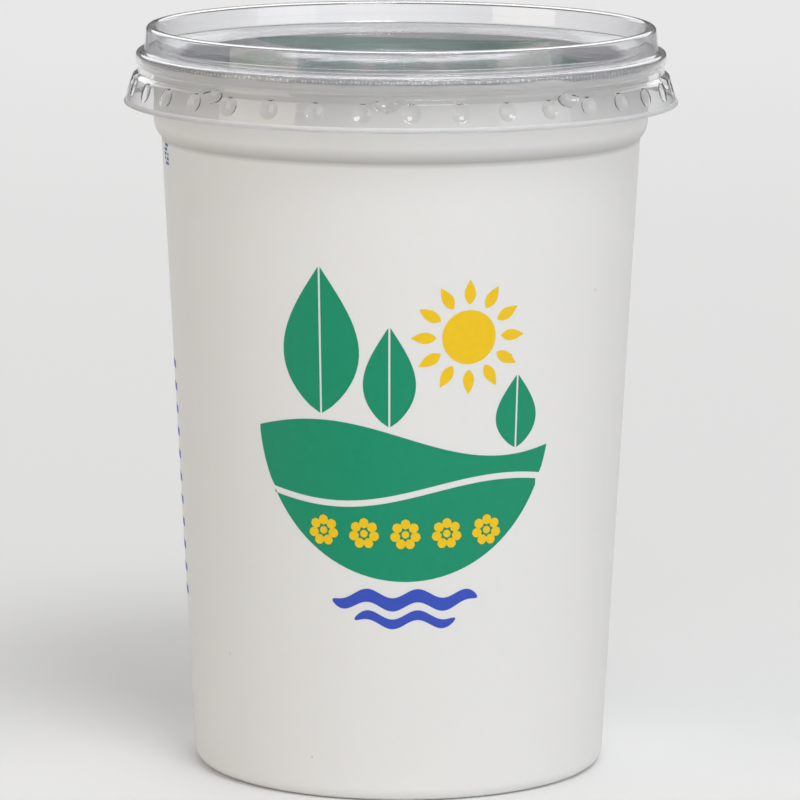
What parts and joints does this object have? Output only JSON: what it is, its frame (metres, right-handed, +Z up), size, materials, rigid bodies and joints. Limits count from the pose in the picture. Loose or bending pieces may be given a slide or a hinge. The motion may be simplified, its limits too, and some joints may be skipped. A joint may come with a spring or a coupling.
{
  "type": "tub of yogurt",
  "caption": "Shut tall plastic yogurt tub with a tapered white wall and stepped collar, a foil seal over its rim and a clear press-on lid with a stacking ridge.",
  "frame": {"origin": "centre of the tub's base, on the surface it stands on", "axes": "+Z up along the tub's own axis, -Y out of the printed front, +X to the right seen from the front"},
  "size_m": [0.096, 0.096, 0.1294],
  "materials": {
    "tub_white": "satin white injection-moulded plastic, printed",
    "foil": "dull embossed foil, printed",
    "lid_clear": "clear glossy thin sheet"
  },
  "bodies": {
    "root": {"tub": "tub_white", "foil_seal": "foil", "lid": "lid_clear"}
  },
  "joints": []
}
